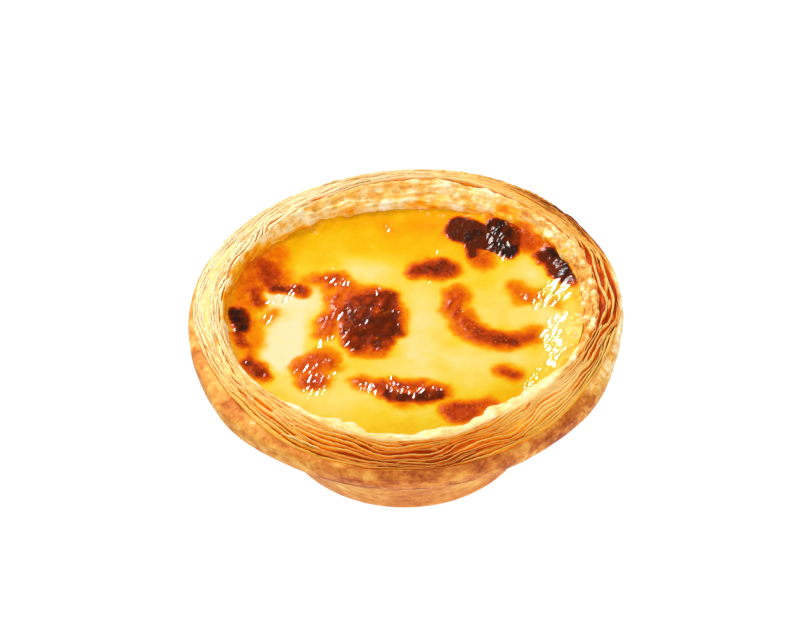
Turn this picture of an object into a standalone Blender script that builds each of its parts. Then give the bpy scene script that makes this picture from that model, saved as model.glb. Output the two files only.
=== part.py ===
"""An egg tart: a cup of layered puff pastry, filled with baked custard.

The tart stands on the flat underside of its base, with the origin at the centre of that face and +Z up.
The pastry and the custard are turned shapes. Both are then bent a little out of round by the same rules,
so that they stay a clean fit, and the edge of each pastry layer gets waves of its own.
Run it with: blender --background --python part.py
"""

from math import atan2, cos, exp, hypot, pi, radians, sin

import bpy

MM = 0.001

# Driving dimensions, in millimetres.
RIM_RADIUS = 37.5  # the widest point, at the top of the toasted band
HEIGHT = 27.1  # base to the highest ring of the rim, before its edges get their waves
BASE_RADIUS = 22.5
WALL = 2.2  # pastry under and beside the custard
CUSTARD_LEVEL = 23.7
FIT_GAP = 0.3  # between the custard and the pastry it was baked in

# The rim: a smooth toasted band outside, and on top a ring of stepped layer edges, out from the inner lip.
BAND_BOTTOM = 19.3
BAND_UNDERCUT = 1.0  # how much narrower the band is at its lower edge
NECK_RADIUS = 32.4  # where the tapered side goes in under the band
LIP_RADIUS = 31.2
LIP_HEIGHT = HEIGHT - 0.1
RIM_ARCH = 0.35  # how far the ring swells between the lip and the band
RIM_DROP = 1.4  # how much lower the band's top is than the lip
LIP_TILT = -0.3  # how much higher the lip is at the back (+Y) than on average
BAND_TILT = 0.5  # the same for the band's top
LAYER_COUNT = 5
LAYER_NOTCH = 0.45  # depth of the gap between two layer edges
CUSTARD_RADIUS = 30.2

# How far the hand-pressed pastry is out of round: size as a share of the radius, lobes, and direction.
OUT_OF_ROUND = ((0.010, 1, radians(27)), (0.0175, 2, radians(44)), (0.0079, 3, radians(39)))

# Waves along the layer edges: height in millimetres, and waves per turn.
EDGE_WAVES = ((0.16, 5), (0.13, 9), (0.09, 14))
RIM_SWELLS = ((0.12, 2), (0.10, 3))

# Puffed places of the baked skin: height, distance from the middle, direction in degrees, and spread.
CUSTARD_PUFFS = (
    (0.55, 6.0, 175, 5.5),
    (0.45, 23.5, 55, 6.0),
    (0.35, 17.0, 335, 5.5),
    (0.35, 19.5, 262, 5.5),
    (0.30, 17.5, 213, 4.0),
)
CUSTARD_DIP = 0.35  # the middle settles by this much as it cools
CUSTARD_CLIMB = 0.7  # the edge clings this far up the pastry

PASTRY_STEPS = 104
CUSTARD_STEPS = 96


def rim_height(share):
    """Height of the rim's top at a share of the way from the inner lip, 0, to the band, 1."""
    return LIP_HEIGHT + RIM_ARCH * 4 * share * (1 - share) - RIM_DROP * share**1.5


def layer_edges():
    """The stepped top of the rim, from the lip out to the band, as (radius, height) points.

    Each step is one layer: a notch, then the two corners of its blunt top edge.
    """
    first, last = LIP_RADIUS + 0.9, RIM_RADIUS - 0.5
    pitch = (last - first) / LAYER_COUNT
    points = []
    for layer in range(LAYER_COUNT):
        for across, depth in ((0.12, LAYER_NOTCH), (0.42, 0.0), (0.85, 0.1)):
            radius = first + (layer + across) * pitch
            share = (radius - LIP_RADIUS) / (RIM_RADIUS - LIP_RADIUS)
            points.append((radius, rim_height(share) - depth))
    return points


def pastry_profile():
    """Half of the pastry's section, from the middle of its floor, over the rim, to the middle of its base."""
    floor_radius = BASE_RADIUS - WALL - 0.9
    band_top = rim_height(1)
    inside = [
        (0.0, WALL),
        (floor_radius, WALL),
        (floor_radius + 1.4, WALL + 0.9),
        (CUSTARD_RADIUS - 4.4, 12.5),
        (CUSTARD_RADIUS - 0.7, CUSTARD_LEVEL - 3.0),
        (CUSTARD_RADIUS + 0.2, CUSTARD_LEVEL),
        (CUSTARD_RADIUS + 0.6, CUSTARD_LEVEL + 1.4),
        (LIP_RADIUS - 0.15, LIP_HEIGHT - 0.6),
        (LIP_RADIUS + 0.2, LIP_HEIGHT),
        (LIP_RADIUS + 0.7, rim_height(0.1)),
    ]
    band = [
        (RIM_RADIUS - 0.1, band_top),
        (RIM_RADIUS, band_top - 1.2),
        (RIM_RADIUS - 0.4 * BAND_UNDERCUT, band_top - 3.6),
        (RIM_RADIUS - BAND_UNDERCUT, BAND_BOTTOM + 0.6),
        (RIM_RADIUS - BAND_UNDERCUT - 0.9, BAND_BOTTOM),
        (NECK_RADIUS + 0.2, BAND_BOTTOM + 0.1),
    ]
    side = [
        (NECK_RADIUS - 0.3, BAND_BOTTOM - 1.0),
        (NECK_RADIUS - 2.9, 14.0),
        (NECK_RADIUS - 6.6, 7.4),
        (BASE_RADIUS + 0.5, 1.6),
        (BASE_RADIUS - 0.2, 0.4),
        (BASE_RADIUS - 1.1, 0.0),
        (0.0, 0.0),
    ]
    return inside + layer_edges() + band + side


def custard_profile():
    """Half of the custard's section, from the middle of its top to the middle of its underside."""
    edge = CUSTARD_RADIUS - FIT_GAP
    top = [(edge * share, CUSTARD_LEVEL) for share in (0, 0.15, 0.3, 0.45, 0.6, 0.75, 0.88, 0.96)]
    floor_radius = BASE_RADIUS - WALL - 0.9 - FIT_GAP
    return top + [
        (edge + 0.15, CUSTARD_LEVEL - 0.25),
        (edge - 0.75, CUSTARD_LEVEL - 3.0),
        (edge - 4.45, 12.5),
        (floor_radius + 1.2, WALL + 1.2),
        (floor_radius, WALL + FIT_GAP),
        (0.0, WALL + FIT_GAP),
    ]


def waves(angle, sizes_and_counts, shift):
    """A sum of sine waves round the tart. The shift sets one layer's waves apart from the next one's."""
    return sum(
        size * sin(count * angle + shift * (count + 1)) for size, count in sizes_and_counts
    )


def out_of_round(x, y, z):
    """The point moved outwards or inwards as the pressed pastry is. The base keeps the tin's round shape."""
    angle = atan2(y, x)
    pull = sum(size * cos(lobes * (angle - way)) for size, lobes, way in OUT_OF_ROUND)
    share = 1 + pull * min(z / BAND_BOTTOM, 1)
    return x * share, y * share, z


def ramp(value, low, high):
    """0 below low, 1 above high, and even in between."""
    return min(max((value - low) / (high - low), 0), 1)


def pastry_point(x, y, z):
    """A point of the turned pastry, moved to where the baked pastry has it."""
    radius, angle = hypot(x, y), atan2(y, x)
    share = ramp(radius, LIP_RADIUS, RIM_RADIUS)
    layer = round(share * LAYER_COUNT)
    edge_lift = waves(angle, EDGE_WAVES, 1.7 * layer) * ramp(z, LIP_HEIGHT - 2, LIP_HEIGHT - 1.4)
    tilt = (LIP_TILT + (BAND_TILT - LIP_TILT) * share) * sin(angle)
    rim_lift = (tilt + waves(angle, RIM_SWELLS, 0.8)) * ramp(z, LIP_HEIGHT - 5, LIP_HEIGHT - 1.5)
    on_top = ramp(radius, CUSTARD_RADIUS + 0.5, LIP_RADIUS)
    on_band = exp(-(((z - 22.5) / 2.5) ** 2)) * ramp(radius, NECK_RADIUS, RIM_RADIUS - 2)
    bulge = 1 + on_band * waves(angle, ((0.006, 6), (0.004, 11)), 0.5)
    return out_of_round(x * bulge, y * bulge, z + (edge_lift + rim_lift) * on_top)


def custard_point(x, y, z):
    """A point of the turned custard, moved to where the baked filling has it: puffed, sunken and clinging."""
    radius = hypot(x, y)
    if z > CUSTARD_LEVEL - 0.5:
        z -= CUSTARD_DIP * (1 - (radius / CUSTARD_RADIUS) ** 2)
        z += CUSTARD_CLIMB * (radius / CUSTARD_RADIUS) ** 12
        for height, distance, degrees, spread in CUSTARD_PUFFS:
            off_x = x - distance * cos(radians(degrees))
            off_y = y - distance * sin(radians(degrees))
            z += height * exp(-(off_x**2 + off_y**2) / spread**2)
    return out_of_round(x, y, z)


def turned(name, profile, steps, move, material, collection):
    """A solid from a profile turned once round +Z, with each of its points then moved by a rule."""
    line = bpy.data.meshes.new(name + "_profile")
    points = [(radius * MM, 0, height * MM) for radius, height in profile]
    line.from_pydata(points, [(i, i + 1) for i in range(len(points) - 1)], [])
    blank = bpy.data.objects.new(name + "_blank", line)
    collection.objects.link(blank)
    screw = blank.modifiers.new("Turn", "SCREW")
    screw.axis = "Z"
    screw.angle = 2 * pi
    screw.steps = steps
    screw.render_steps = steps
    screw.use_merge_vertices = True
    screw.merge_threshold = 0.00001
    graph = bpy.context.evaluated_depsgraph_get()
    mesh = bpy.data.meshes.new_from_object(blank.evaluated_get(graph))
    bpy.data.objects.remove(blank)
    for vertex in mesh.vertices:
        moved = move(*(value / MM for value in vertex.co))
        vertex.co = [value * MM for value in moved]
    mesh.shade_smooth()
    mesh.set_sharp_from_angle(angle=radians(50))
    mesh.materials.append(material)
    solid = bpy.data.objects.new(name, mesh)
    collection.objects.link(solid)
    return solid


def food_material(name, colour, roughness):
    material = bpy.data.materials.new(name)
    material.use_nodes = True
    shader = material.node_tree.nodes["Principled BSDF"]
    shader.inputs["Base Color"].default_value = (*colour, 1)
    shader.inputs["Roughness"].default_value = roughness
    shader.inputs["Metallic"].default_value = 0
    return material


def main():
    for old in list(bpy.data.objects):
        bpy.data.objects.remove(old)
    tart = bpy.data.collections.new("egg_tart")
    bpy.context.scene.collection.children.link(tart)
    pastry = food_material("baked_pastry", (0.78, 0.46, 0.17), 0.6)
    custard = food_material("baked_custard", (0.92, 0.60, 0.08), 0.25)
    turned("pastry_shell", pastry_profile(), PASTRY_STEPS, pastry_point, pastry, tart)
    turned("custard", custard_profile(), CUSTARD_STEPS, custard_point, custard, tart)


main()
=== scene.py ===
# %% [markdown]
# # An egg tart, browned and flaky
#
# A small tart about 75 mm across: a tapered cup of puff pastry with a thick rim, filled with baked custard.
# The solids of the part give its size and form. This lesson gives it what the oven gave the real one: sheets
# of pastry standing edge up round the rim, a toasted band, and a glossy skin of custard, blistered and burnt
# in patches. All shapes are numpy surfaces and all finishes are procedural nodes.

import bmesh
import bpy
import numpy as np
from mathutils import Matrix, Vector


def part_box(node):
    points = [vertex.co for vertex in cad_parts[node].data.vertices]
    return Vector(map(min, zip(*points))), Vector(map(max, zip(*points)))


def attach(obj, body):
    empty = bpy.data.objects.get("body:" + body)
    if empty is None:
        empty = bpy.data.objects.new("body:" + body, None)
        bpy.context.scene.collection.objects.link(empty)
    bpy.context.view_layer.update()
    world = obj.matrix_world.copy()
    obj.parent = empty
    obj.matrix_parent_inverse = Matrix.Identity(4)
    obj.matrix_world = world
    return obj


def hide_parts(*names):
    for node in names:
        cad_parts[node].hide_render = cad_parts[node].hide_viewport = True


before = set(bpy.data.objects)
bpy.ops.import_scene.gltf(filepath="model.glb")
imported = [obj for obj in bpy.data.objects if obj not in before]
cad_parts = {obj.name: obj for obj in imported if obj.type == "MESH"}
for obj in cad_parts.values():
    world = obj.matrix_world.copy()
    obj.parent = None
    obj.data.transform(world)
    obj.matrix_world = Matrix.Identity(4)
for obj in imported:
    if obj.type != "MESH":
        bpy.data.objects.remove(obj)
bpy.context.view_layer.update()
MM = 0.001
shell_low, shell_high = (np.array(corner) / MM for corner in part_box("pastry_shell"))
filling_high = np.array(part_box("custard")[1]) / MM
print("the pastry is", np.round(shell_high - shell_low, 1), "mm, its top at", round(shell_high[2], 2), "mm")

# %% [markdown]
# ## The measures of the tart
#
# Everything below is worked out in millimetres from the solids' boxes: the rim is the widest ring, and the
# filling's box tells how wide and how high the custard is. The pressed pastry is a little out of round and
# its rim is tilted and swollen. The same three rules bend the solids, so every piece here uses them too.

# %% Measures and the rules that bend every piece
RIM_RADIUS = (shell_high - shell_low)[:2].mean() / 2 - 0.03
LIP_HEIGHT = shell_high[2] - 0.7
LIP_RADIUS = RIM_RADIUS - 6.3
CUSTARD_RADIUS = RIM_RADIUS - 7.3
CUSTARD_LEVEL = filling_high[2] - 0.4
BAND_BOTTOM = LIP_HEIGHT - 7.7
OUT_OF_ROUND = ((0.010, 1, 27), (0.0175, 2, 44), (0.0079, 3, 39))
print("the rim's radius is", round(RIM_RADIUS, 2), "mm and the lip stands", round(LIP_HEIGHT, 2), "mm high")
print("the custard's level is", round(CUSTARD_LEVEL, 2), "mm")


def ramp(value, low, high):
    """0 below low, 1 above high, and a straight line in between."""
    return np.clip((value - low) / (high - low), 0, 1)


def soft(value, low, high):
    """As ramp, but with the smooth S of 3t^2 - 2t^3 in between."""
    t = ramp(value, low, high)
    return t * t * (3 - 2 * t)


def near(angle, degrees, width):
    """A bell round one direction: e to the minus (the angle away from it over the width) squared."""
    away = (np.degrees(angle) - degrees + 180) % 360 - 180
    return np.exp(-((away / width) ** 2))


def bells(angle, *bumps):
    """The sum of some bells, each given as its height, its direction in degrees and its width."""
    return sum(high * near(angle, degrees, width) for high, degrees, width in bumps)


def rim_height(share):
    """Height of the rim's top from the lip, at share 0, to the band, at share 1: a low arch that drops."""
    return LIP_HEIGHT + 1.4 * share * (1 - share) - 1.4 * np.maximum(share, 0) ** 1.5


def baked(radius, angle, z):
    """Points given as radius, angle and height, bent as the oven bent the tart.

    The rim is tilted by the sine of the angle and swells by sines of 2 and 3 times it. Then each radius is
    pulled by cosines of 1, 2 and 3 times the angle, the less the nearer it is to the round base."""
    share = ramp(radius, LIP_RADIUS, RIM_RADIUS)
    swell = 0.12 * np.sin(2 * angle + 2.4) + 0.10 * np.sin(3 * angle + 3.2)
    tilt = (-0.3 + 0.8 * share) * np.sin(angle)
    lift = (tilt + swell) * ramp(z, LIP_HEIGHT - 5, LIP_HEIGHT - 1.5)
    lift = lift * ramp(radius, CUSTARD_RADIUS + 0.5, LIP_RADIUS)
    pull = sum(size * np.cos(lobes * (angle - np.radians(way))) for size, lobes, way in OUT_OF_ROUND)
    radius = radius * (1 + pull * np.minimum(z / BAND_BOTTOM, 1))
    return np.stack([radius * np.cos(angle), radius * np.sin(angle), z + lift], axis=-1)


# %% [markdown]
# ## Random hills
#
# Baked food is uneven at every scale. The tools for that are value noise, which is a random number at every
# corner of a square grid, blended smoothly in between, and a sum of such hills at finer and finer sizes.
# The seeds are fixed, so the tart comes out the same each time.

# %% Noise helpers
def hills(points, seed):
    """Smooth random hills from -1 to 1 over points in space: eight corner values blended by 3t^2 - 2t^3."""
    corners = np.random.default_rng(seed).uniform(-1, 1, (64, 64, 64))
    cell = np.floor(points).astype(int)
    share = soft(points - cell, 0, 1)
    total = 0
    for step in np.ndindex(2, 2, 2):
        x, y, z = (np.moveaxis(cell, -1, 0) + np.reshape(step, (3,) + (1,) * (cell.ndim - 1))) % 64
        weight = np.prod(np.where(step, share, 1 - share), axis=-1)
        total = total + corners[x, y, z] * weight
    return total


def lumps(points, size, seed, octaves=3):
    """hills() of a size in millimetres, one number or three, plus finer ones, each half as large and high."""
    total = 0
    for k in range(octaves):
        total = total + hills(points * 2**k / np.array(size) + 7.31 * k, seed + k) / 2**k
    return total / 1.5


def around(angle, height=0.0, radius=RIM_RADIUS):
    """Points on a cylinder: noise read there meets itself after a full turn."""
    return np.stack(np.broadcast_arrays(radius * np.cos(angle), radius * np.sin(angle), height), axis=-1)


# %% [markdown]
# ## From a grid of points to a piece
#
# Each surface is a rectangle of points, rows by columns. Its mesh takes them as they are, and then points
# that lie on each other are merged: that closes seams, poles and the tips of the flakes. Marks are numbers
# kept for each point, such as how deeply it is browned, and the finishes read them by name.

# %% Mesh helper
def grid_faces(rows, columns, first=0):
    """Four-cornered faces between neighbouring points of a rows-by-columns grid, as an index array."""
    index = first + np.arange(rows * columns).reshape(rows, columns)
    corners = (index[:-1, :-1], index[:-1, 1:], index[1:, 1:], index[1:, :-1])
    return np.stack(corners, axis=-1).reshape(-1, 4)


def make_piece(name, points, faces, marks, finish):
    """A mesh object from points in millimetres, faces of four corners and marks, closed and facing out."""
    mesh = bpy.data.meshes.new(name)
    points = np.ascontiguousarray(points, dtype=np.float32).reshape(-1, 3)
    mesh.vertices.add(len(points))
    mesh.vertices.foreach_set("co", (points * MM).ravel())
    mesh.loops.add(faces.size)
    mesh.loops.foreach_set("vertex_index", faces.astype(np.int32).ravel())
    mesh.polygons.add(len(faces))
    mesh.polygons.foreach_set("loop_start", np.arange(len(faces), dtype=np.int32) * 4)
    mesh.update(calc_edges=True)
    for mark, values in marks.items():
        kept = mesh.attributes.new(mark, "FLOAT", "POINT")
        kept.data.foreach_set("value", np.ascontiguousarray(values, dtype=np.float32).ravel())
    shape = bmesh.new()
    shape.from_mesh(mesh)
    bmesh.ops.remove_doubles(shape, verts=shape.verts, dist=2e-7)
    bmesh.ops.recalc_face_normals(shape, faces=shape.faces)
    shape.to_mesh(mesh)
    shape.free()
    mesh.shade_smooth()
    mesh.materials.append(finish)
    piece = bpy.data.objects.new(name, mesh)
    bpy.context.scene.collection.objects.link(piece)
    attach(piece, "root")
    print(name, "has", sum(len(p.vertices) - 2 for p in mesh.polygons), "triangles")
    return piece


# %% [markdown]
# ## Node helpers
#
# A finish is a small tree of nodes. These helpers add a node, join it to what it reads, and hold colours as
# the eye's numbers from 0 to 255, because that is how a colour is picked from a chart.

# %% Node helpers
def linear(red, green, blue):
    """A screen colour from 0 to 255 as the linear light that the shader wants, with full cover."""
    shares = np.array([red, green, blue]) / 255
    light = np.where(shares <= 0.04045, shares / 12.92, ((shares + 0.055) / 1.055) ** 2.4)
    return (*light.tolist(), 1.0)


class Finish:
    """A material under construction: add() makes nodes, and set() fills the shader's own sockets."""

    def __init__(self, name):
        self.material = bpy.data.materials.new(name)
        self.material.use_nodes = True
        self.tree = self.material.node_tree
        self.shader = self.tree.nodes["Principled BSDF"]

    def add(self, kind, inputs, **settings):
        """A node with its settings, whose inputs, by name or number, are numbers or other nodes' outputs."""
        node = self.tree.nodes.new("ShaderNode" + kind)
        for setting, value in settings.items():
            setattr(node, setting, value)
        for socket, value in inputs.items():
            self.join(node.inputs[socket], value)
        return node

    def join(self, socket, value):
        """Gives a socket its value: a link where that is a node's output, and the number itself otherwise."""
        if isinstance(value, bpy.types.NodeSocket):
            self.tree.links.new(value, socket)
        else:
            socket.default_value = value

    def set(self, **inputs):
        """Fills the shader's sockets, called by their names with _ for each space."""
        for name, value in inputs.items():
            self.join(self.shader.inputs[name.replace("_", " ")], value)

    def mark(self, name):
        """The number that each point of the piece keeps under this name."""
        return self.add("Attribute", {}, attribute_name=name).outputs["Fac"]

    def place(self):
        """Where the point lies on the tart, in metres."""
        return self.add("TexCoord", {}).outputs["Object"]

    def noise_at(self, place, scale=1.0, detail=3.0, rough=0.6, twist=0.0):
        """Noise from 0 to 1 over a place, with about scale features to each unit of it."""
        inputs = {"Vector": place, "Scale": scale, "Detail": detail, "Roughness": rough, "Distortion": twist}
        return self.add("TexNoise", inputs).outputs["Fac"]

    def noise(self, size, detail=3.0, rough=0.55, twist=0.0):
        """Noise from 0 to 1 whose features are about size millimetres across."""
        return self.noise_at(self.place(), 1 / (size * MM), detail, rough, twist)

    def lines(self, mark, run, gap):
        """Noise drawn out along the ring: it changes every run millimetres there and each gap of the mark."""
        here = self.add("SeparateXYZ", {0: self.place()}).outputs
        x, y = (self.times(here[i], 1 / (run * MM)) for i in (0, 1))
        place = self.add("CombineXYZ", {0: x, 1: y, 2: self.times(mark, 1 / gap)})
        return self.noise_at(place.outputs[0], detail=2.0)

    def math(self, operation, *values):
        """One arithmetic step on numbers or other nodes' outputs."""
        return self.add("Math", dict(enumerate(values)), operation=operation).outputs[0]

    def times(self, first, second):
        """The product of two numbers or other nodes' outputs."""
        return self.math("MULTIPLY", first, second)

    def remap(self, value, low, high, to_low=0.0, to_high=1.0):
        """The value moved in a straight line from low and high to the new ends, and held between them."""
        inputs = {0: value, 1: low, 2: high, 3: to_low, 4: to_high}
        return self.add("MapRange", inputs, clamp=True).outputs[0]

    def shaken(self, value, noise, by):
        """The value moved up and down by noise, by this much at most."""
        return self.math("ADD", value, self.remap(noise, 0.3, 0.7, -by, by))

    def ramp(self, value, stops):
        """A colour for each value: stops are (position, screen colour) pairs."""
        node = self.add("ValToRGB", {"Fac": value})
        ramp_stops = node.color_ramp.elements
        while len(ramp_stops) < len(stops):
            ramp_stops.new(0.5)
        for stop, (position, colour) in zip(ramp_stops, stops):
            stop.position, stop.color = position, linear(*colour)
        return node.outputs["Color"]

    def mix(self, share, first, second):
        """The first colour where the share is 0, the second where it is 1, and blends of them in between."""
        return self.add("Mix", {0: share, 6: first, 7: second}, data_type="RGBA").outputs[2]

    def bump(self, height, strength, reach, below=None):
        """Relief from a height of 0 to 1 that is reach millimetres deep, on top of what is below."""
        inputs = {"Height": height, "Strength": strength, "Distance": reach * MM}
        if below is not None:
            inputs["Normal"] = below
        return self.add("Bump", inputs).outputs["Normal"]


# %% [markdown]
# ## The finish of baked puff pastry
#
# Baked dough runs from pale cream where it only dried, through gold, to brown where the oven was hottest.
# Between two sheets the butter fried the dough, so a gap is deep orange, and the torn edge of a sheet is the
# palest of all. The orange of the gaps is also a painted glow, for light that shines through the thin sheets,
# and it is painted deeper the lower a point lies in a gap, where shade falls. The pieces carry a mark for
# each:
# one for browning, which also holds painted shade, then deep, edge, and mottle for the brown spots of
# blistered crust. A fifth, across, counts millimetres across the sheets, and noise drawn out along it gives
# the fine lines of the layers.

# %% Pastry finish
pastry = Finish("baked_puff_pastry")
MARKS = ("toast_and_shade", "deep", "edge", "mottle", "across")
toast_and_shade, deep, edge, mottle, across = (pastry.mark(name) for name in MARKS)
laminae, hairs = pastry.lines(across, 3.5, 0.5), pastry.lines(across, 2.0, 0.2)
broad, speckle, grain = pastry.noise(7), pastry.noise(1.3, 4), pastry.noise(0.35, 3, 0.6)
tone = toast_and_shade
for noise, by in ((broad, 0.10), (speckle, 0.08), (grain, 0.04), (laminae, 0.07)):
    tone = pastry.shaken(tone, noise, by)
spots = pastry.remap(pastry.noise(1.4, 4, 0.6, 0.6), 0.42, 0.68)
cracks = pastry.remap(pastry.lines(across, 2.2, 0.8), 0.52, 0.62)
spots = pastry.math("MAXIMUM", spots, cracks)
tone = pastry.math("MULTIPLY_ADD", spots, pastry.times(mottle, 0.3), tone)
crumb_colour = pastry.ramp(
    tone,
    (
        (0.0, (255, 245, 216)),
        (0.16, (253, 225, 166)),
        (0.36, (240, 178, 82)),
        (0.58, (216, 128, 50)),
        (0.78, (172, 80, 26)),
        (1.0, (92, 38, 12)),
    ),
)
# The colours of the gaps: the dough's fried orange, and also a painted glow that stands in for light through
# the sheets and for the shade deep in the gaps.
fried_and_painted_glow = pastry.ramp(
    pastry.shaken(deep, laminae, 0.24),
    (
        (0.0, (255, 206, 96)),
        (0.25, (255, 184, 34)),
        (0.5, (250, 148, 4)),
        (0.8, (228, 102, 0)),
        (1.0, (178, 62, 0)),
    ),
)
tip = pastry.ramp(edge, ((0.3, (254, 204, 96)), (0.6, (254, 222, 140)), (1.0, (255, 242, 208))))

# %% Colours and relief of the pastry, put together
colour = pastry.mix(pastry.remap(deep, 0.02, 0.3), crumb_colour, fried_and_painted_glow)
colour = pastry.mix(pastry.remap(tone, 0.60, 0.78), colour, crumb_colour)
cut = pastry.remap(edge, 0.0, 0.5, 0.0, 0.95)
cut = pastry.times(cut, pastry.remap(hairs, 0.3, 0.5, 0.45, 1.0))
cut = pastry.times(cut, pastry.remap(toast_and_shade, 0.45, 0.75, 1.0, 0.0))
colour = pastry.mix(cut, colour, tip)
relief = pastry.bump(grain, 0.5, 0.12)
relief = pastry.bump(speckle, 0.4, 0.3, relief)
relief = pastry.bump(laminae, pastry.remap(deep, 0.0, 0.2, 0.3, 0.8), 0.22, relief)
pastry.set(
    Base_Color=colour,
    Roughness=pastry.remap(speckle, 0.3, 0.7, 0.42, 0.62),
    Normal=relief,
    Specular_IOR_Level=0.10,
)
print("the finish of the pastry has", len(pastry.tree.nodes), "nodes")

# %% [markdown]
# ## The cup
#
# The cup was pressed by thumb into a small tin, so its side is smooth and tapered, and the dough that stood
# above the tin puffed outwards into a thick toasted band. Its section is a chain of points that changes round
# the tart: the lip is a fat bubbly roll on the right and a thin edge in front. A curve through the points,
# carried round the tart, gives the surface, and noise pushes it in and out along its own normal.

# %% How the rim changes round the tart
def lip_roll(angle):
    """Width of the rounded inner lip: broad at the right and behind, thin in front and at the left."""
    return 0.4 + bells(angle, (1.5, 16, 40), (2.5, 86, 38))


def lip_inset(angle):
    """How far the lip leans in over the custard: furthest at the front right."""
    return 0.2 + bells(angle, (1.2, 234, 18), (1.5, 312, 20))


def toast_round(angle):
    """How browned the outside is: palest at the right end and the left, darkest behind the right shoulder."""
    pale = bells(angle, (-0.18, 170, 50), (-0.30, 103, 34), (-0.50, 0, 19))
    return 0.54 + pale + bells(angle, (0.50, 46, 18), (0.05, 275, 30))


def shoulder_round(angle):
    """How far the smooth crust comes in over the rim's top: at the lower left and at the lower right."""
    return bells(angle, (1.5, 212, 22), (0.9, 333, 16))


def bulge_round(angle):
    """How far the band swells out beyond the general round: most at the lower left and the lower right."""
    return bells(angle, (0.85, 223, 17), (0.70, 326, 15), (0.12, 265, 30), (0.2, 50, 25))


def crest_round(angle):
    """How much the sheets stand up above the rim's general height: behind, where the oven lifted them."""
    return bells(angle, (0.75, 60, 38), (0.5, 130, 45))


def glow_round(angle):
    """How deep an orange the gaps are, as their fried colour and a painted glow of light through the sheets:
    little at the left, and most in front and at the right.
    """
    glow = bells(angle, (1.0, 268, 46), (1.0, 8, 38), (0.3, 60, 16))
    return 0.10 + 0.90 * np.clip(glow, 0, 1) - 0.22 * near(angle, 316, 20)


def pale_round(angle):
    """How pale the torn edges of the sheets are: cream at the left and behind, gold in front."""
    return 0.50 + bells(angle, (0.50, 160, 60), (0.30, 85, 34), (-0.35, 50, 22), (-0.35, 228, 22))


# %% A curve through points
def smooth_chain(chain, steps):
    """A curve through the points of a chain, by the Catmull-Rom rule, with so many steps in each stretch."""
    padded = np.concatenate([chain[:1], chain, chain[-1:]])
    rows = []
    for i, count in enumerate(steps):
        t = (np.arange(count) / count).reshape(-1, *(1,) * (chain.ndim - 1))
        p0, p1, p2, p3 = padded[i : i + 4]
        bend = 2 * p0 - 5 * p1 + 4 * p2 - p3, 3 * p1 - p0 - 3 * p2 + p3
        rows.append(0.5 * (2 * p1 + (p2 - p0) * t + bend[0] * t**2 + bend[1] * t**3))
    return np.concatenate(rows + [chain[-1:]])


# %% The section of the cup
turn = np.linspace(0, 2 * np.pi, 841)
roll, inset = lip_roll(turn), lip_inset(turn)
lip = LIP_RADIUS - inset
slim = 1.3 * near(turn, 318, 38)
leaning = near(turn, 92, 38)
inward, bulge, ease = shoulder_round(turn), bulge_round(turn), roll / 2
floor_lift = bells(turn, (1.9, 160, 66), (1.5, 308, 36), (0.9, 255, 26), (0.5, 5, 30))
section = (  # radius, height, and steps to the next point
    (0, 2.2, 1),
    (19.4, 2.2, 1),
    (25.8, 12.5, 2),
    (CUSTARD_RADIUS - 0.9 - inset, CUSTARD_LEVEL - 3.0, 3),
    (lip - 0.9 - 1.1 * leaning, CUSTARD_LEVEL, 6),
    (lip - 0.6 + 0.4 * ease - 1.4 * leaning, CUSTARD_LEVEL + 1.3, 7),
    (lip - 0.1 + 0.9 * ease - 0.7 * leaning, LIP_HEIGHT - 0.7, 5),
    (lip + 0.2 + 0.3 * roll + 0.5 * ease, LIP_HEIGHT - 0.15, 5),
    (lip + 0.3 + 0.8 * roll + 0.1 * ease, LIP_HEIGHT - 0.2, 4),
    (lip + 0.4 + roll, LIP_HEIGHT - 0.9, 3),
    (lip + 0.6 + roll, LIP_HEIGHT - 1.9 + 0.5 * floor_lift, 3),
    (0.5 * (lip + roll + RIM_RADIUS - 0.7 - inward), LIP_HEIGHT - 2.0 + floor_lift, 4),
    (RIM_RADIUS - 1.5 - inward, LIP_HEIGHT - 2.4 + 0.7 * floor_lift, 3),
    (RIM_RADIUS - 1.1 - inward, LIP_HEIGHT - 1.8 + 0.4 * floor_lift, 4),
    (RIM_RADIUS - 0.75 - inward, LIP_HEIGHT - 1.36, 4),
    (RIM_RADIUS - 0.25 - 0.6 * inward + 0.5 * bulge, LIP_HEIGHT - 1.5, 4),
    (RIM_RADIUS - 0.02 - 0.1 * inward + 0.9 * bulge, LIP_HEIGHT - 2.2, 6),
    (RIM_RADIUS - 0.05 + bulge, LIP_HEIGHT - 3.6, 8),
    (RIM_RADIUS - 0.45 + bulge, LIP_HEIGHT - 5.4, 6),
    (RIM_RADIUS - 1.1 + 0.8 * bulge, LIP_HEIGHT - 6.6, 4),
    (RIM_RADIUS - 1.9 + 0.5 * bulge, BAND_BOTTOM + 0.35, 3),
    (RIM_RADIUS - 3.3, BAND_BOTTOM + 0.1, 3),
    (RIM_RADIUS - 5.2 - slim, BAND_BOTTOM - 0.6, 3),
    (RIM_RADIUS - 6.2 - slim, BAND_BOTTOM - 2.4, 5),
    (RIM_RADIUS - 8.0 - slim, 14.0, 6),
    (RIM_RADIUS - 11.7 - 0.7 * slim, 7.4, 5),
    (RIM_RADIUS - 14.5 - 0.3 * slim, 1.6, 3),
    (RIM_RADIUS - 15.25, 0.4, 2),
    (RIM_RADIUS - 16.1, 0.0, 1),
    (RIM_RADIUS - 17.0, 0.0, 1),
    (RIM_RADIUS - 18.0, 0.0, 1),
    (0, 0, 1),
)
chain = np.array([np.stack(np.broadcast_arrays(r, h, turn)[:2]) for r, h, _ in section])
curve = smooth_chain(chain, [steps for _, _, steps in section[:-1]])
radius, height = curve[:, 0], np.maximum(curve[:, 1], 0)
print("the cup's section has", len(curve), "points")

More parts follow.
